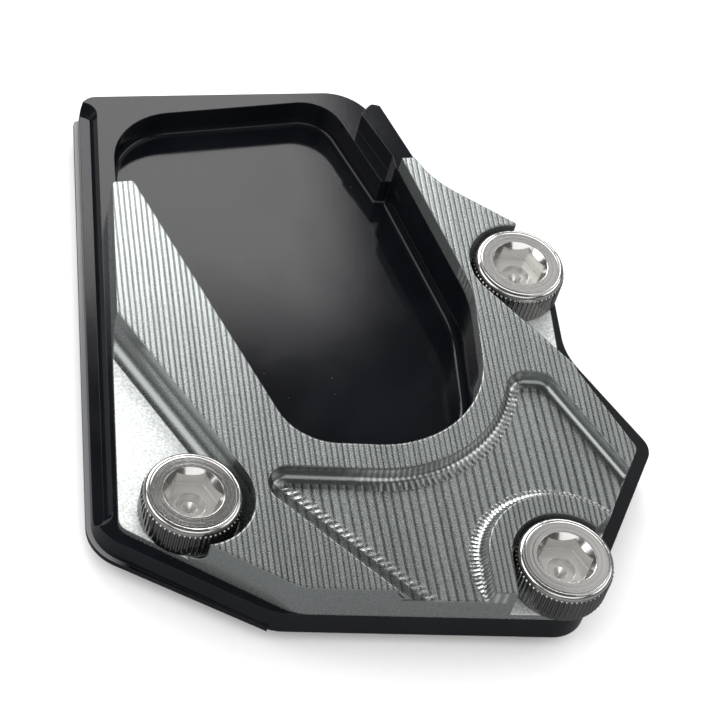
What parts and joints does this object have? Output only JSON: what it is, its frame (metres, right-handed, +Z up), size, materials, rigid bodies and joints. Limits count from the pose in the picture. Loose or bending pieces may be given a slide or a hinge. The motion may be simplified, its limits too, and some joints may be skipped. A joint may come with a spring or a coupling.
{
  "type": "kickstand foot enlarger",
  "caption": "Wide foot plate for a side stand: a pocketed base plate with a forked clamp plate bolted on top.",
  "frame": {"origin": "under the middle of the overall size, on the underside of the base plate", "axes": "+Z up out of the ground, +Y towards the open back of the pocket, +X towards the right arm"},
  "size_m": [0.0606, 0.073, 0.0098],
  "materials": {
    "black_anodised": "gloss black anodised",
    "grey_anodised": "titanium grey anodised, milled lines on top",
    "stainless": "plain stainless, turned"
  },
  "bodies": {
    "root": {"base_plate": "black_anodised", "clamp_plate": "grey_anodised", "screw_left": "stainless", "screw_right": "stainless", "screw_top": "stainless"}
  },
  "joints": []
}
